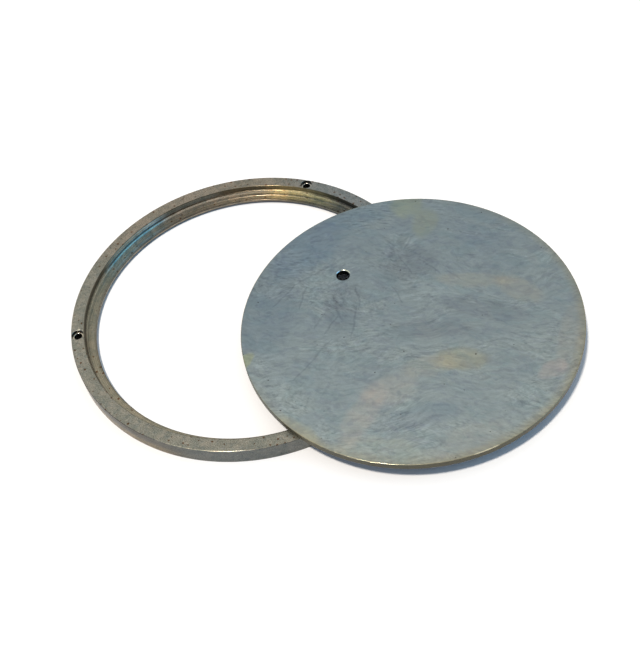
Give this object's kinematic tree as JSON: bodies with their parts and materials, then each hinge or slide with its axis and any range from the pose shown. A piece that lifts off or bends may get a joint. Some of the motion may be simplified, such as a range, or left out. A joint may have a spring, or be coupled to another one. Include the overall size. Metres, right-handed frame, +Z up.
{
  "type": "round cover plate with frame ring",
  "caption": "Flat round steel cover disc with an off-centre lifting hole, lying on its stepped frame ring, which screws down through counterbored holes in its rim.",
  "frame": {"origin": "centre of the screw circle, on the ring's axis, at the face the ring stands on", "axes": "+Z up along the ring's axis, +X from the ring's axis towards the cover's centre"},
  "size_m": [0.3875, 0.272, 0.0185],
  "materials": {
    "ring_zinc": "turned steel, zinc plated, dulled olive grey with a few rust specks",
    "cover_zinc": "flat steel, zinc plated, blue grey with scratches and pale stains"
  },
  "bodies": {
    "root": {"frame_ring": "ring_zinc", "cover_plate": "cover_zinc"}
  },
  "joints": []
}
